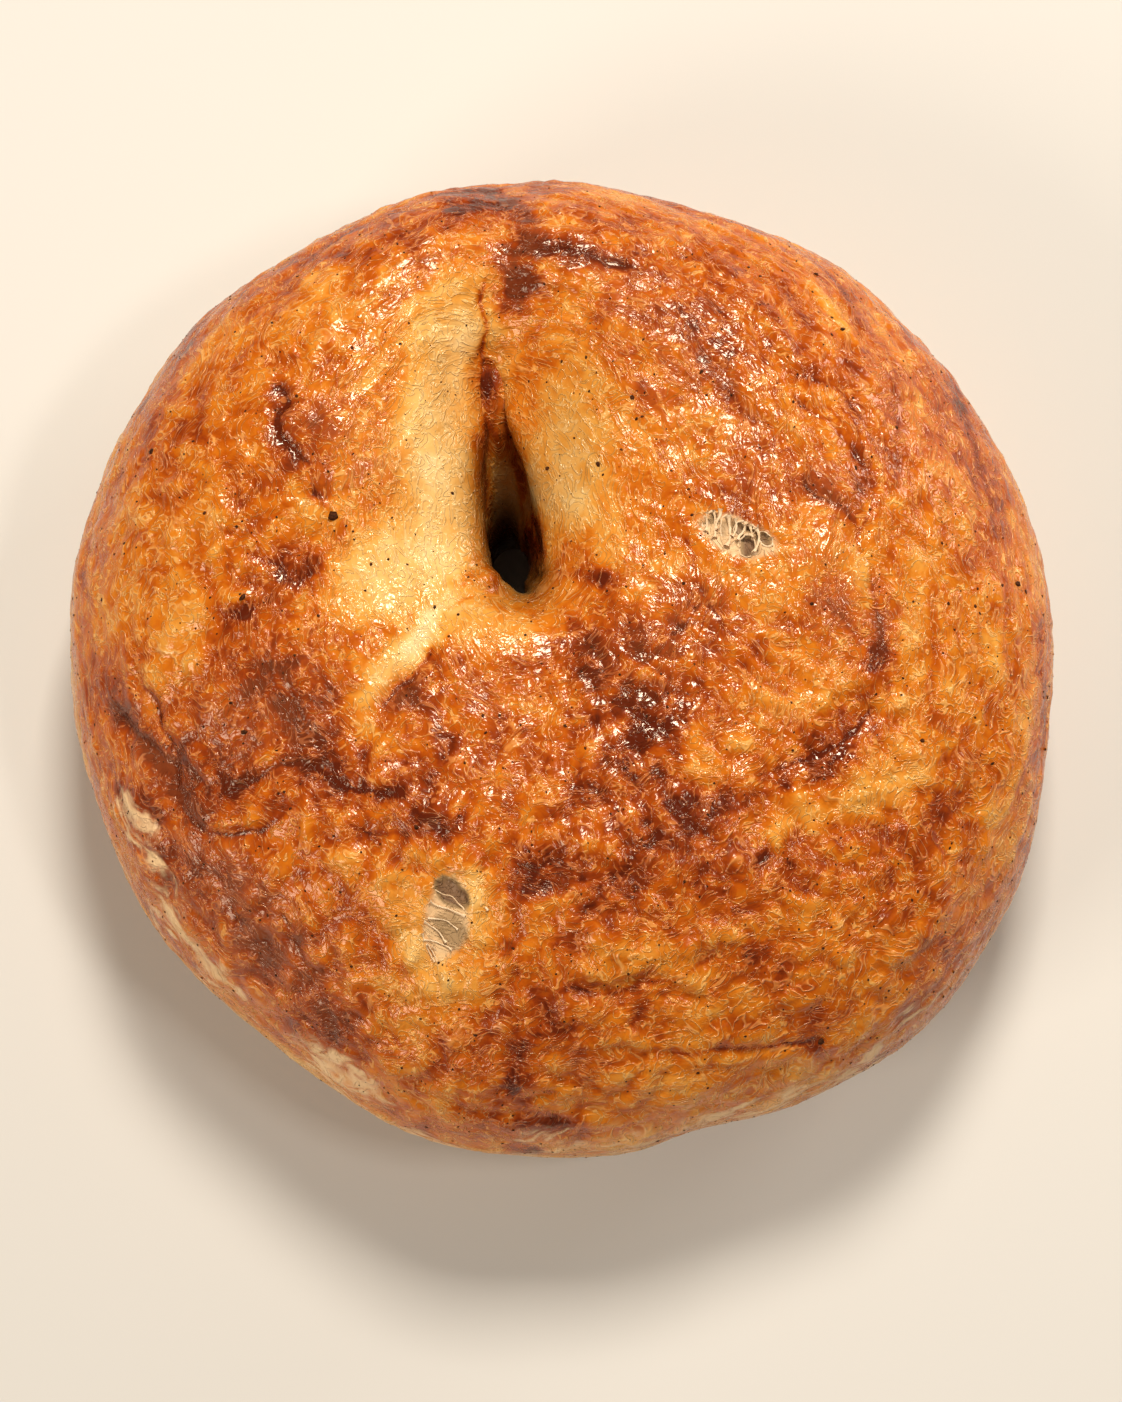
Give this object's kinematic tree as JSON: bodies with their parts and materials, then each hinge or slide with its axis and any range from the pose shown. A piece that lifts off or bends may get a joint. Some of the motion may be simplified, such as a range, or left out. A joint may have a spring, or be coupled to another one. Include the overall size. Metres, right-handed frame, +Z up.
{
  "type": "bagel",
  "caption": "Round hand-rolled bagel, flat underneath and plump on top, with a long narrow slot that ends in a small through hole.",
  "frame": {"origin": "centre of the footprint, on the surface the bagel rests on", "axes": "+Z up; +Y from the hole along the slot; +X to the right of the slot seen from above"},
  "size_m": [0.1114, 0.1108, 0.0414],
  "materials": {
    "crust": "baked, mottled golden to brown, with glossy patches",
    "crumb": "pale open dough where the skin has torn",
    "speck": "scorched dark grains"
  },
  "bodies": {
    "root": {"bagel": "crust"}
  },
  "joints": []
}
